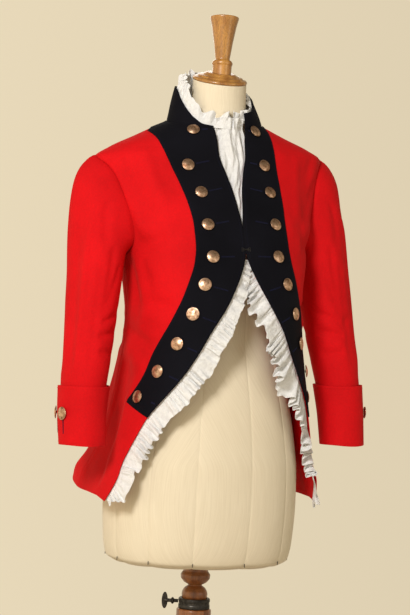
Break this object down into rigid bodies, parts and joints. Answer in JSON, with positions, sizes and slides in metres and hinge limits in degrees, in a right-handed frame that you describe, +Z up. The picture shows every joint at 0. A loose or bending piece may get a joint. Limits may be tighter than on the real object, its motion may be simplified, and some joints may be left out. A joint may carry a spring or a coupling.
{
  "type": "officer jacket on a dress form",
  "caption": "Red wool officer jacket with blue-black facings, cut-away tails and white frills, worn by a limbless dress form on a turned stand.",
  "frame": {"origin": "on the floor, under the stand's axis", "axes": "+Z up, -Y the jacket's front, +X the wearer's left"},
  "size_m": [0.613, 0.46, 1.5875],
  "materials": {
    "scarlet_wool": "matt milled wool",
    "navy_wool": "matt milled wool",
    "white_cotton": "soft gathered cotton",
    "cream_linen": "smooth stretched cover",
    "honey_wood": "varnished",
    "brown_wood": "varnished",
    "worn_brass": "worn",
    "black_iron": "satin black"
  },
  "bodies": {
    "root": {"front_right": "scarlet_wool", "back_right": "scarlet_wool", "lapel_right": "navy_wool", "sleeve_right": "scarlet_wool", "cuff_right": "scarlet_wool", "frill_right": "white_cotton", "button_right_01": "worn_brass", "button_right_02": "worn_brass", "button_right_03": "worn_brass", "button_right_04": "worn_brass", "button_right_05": "worn_brass", "button_right_06": "worn_brass", "button_right_07": "worn_brass", "button_right_08": "worn_brass", "button_right_09": "worn_brass", "button_right_10": "worn_brass", "cuff_button_right_1": "worn_brass", "cuff_button_right_2": "worn_brass", "front_left": "scarlet_wool", "back_left": "scarlet_wool", "lapel_left": "navy_wool", "sleeve_left": "scarlet_wool", "cuff_left": "scarlet_wool", "frill_left": "white_cotton", "button_left_01": "worn_brass", "button_left_02": "worn_brass", "button_left_03": "worn_brass", "button_left_04": "worn_brass", "button_left_05": "worn_brass", "button_left_06": "worn_brass", "button_left_07": "worn_brass", "button_left_08": "worn_brass", "button_left_09": "worn_brass", "button_left_10": "worn_brass", "cuff_button_left_1": "worn_brass", "cuff_button_left_2": "worn_brass", "collar": "navy_wool", "neck_frill": "white_cotton", "jabot": "white_cotton", "dress_form": "cream_linen", "neck_cap": "honey_wood", "finial": "honey_wood", "pole": "brown_wood", "column": "brown_wood", "base": "brown_wood", "clamp_ring": "black_iron", "thumbscrew": "black_iron"}
  },
  "joints": []
}
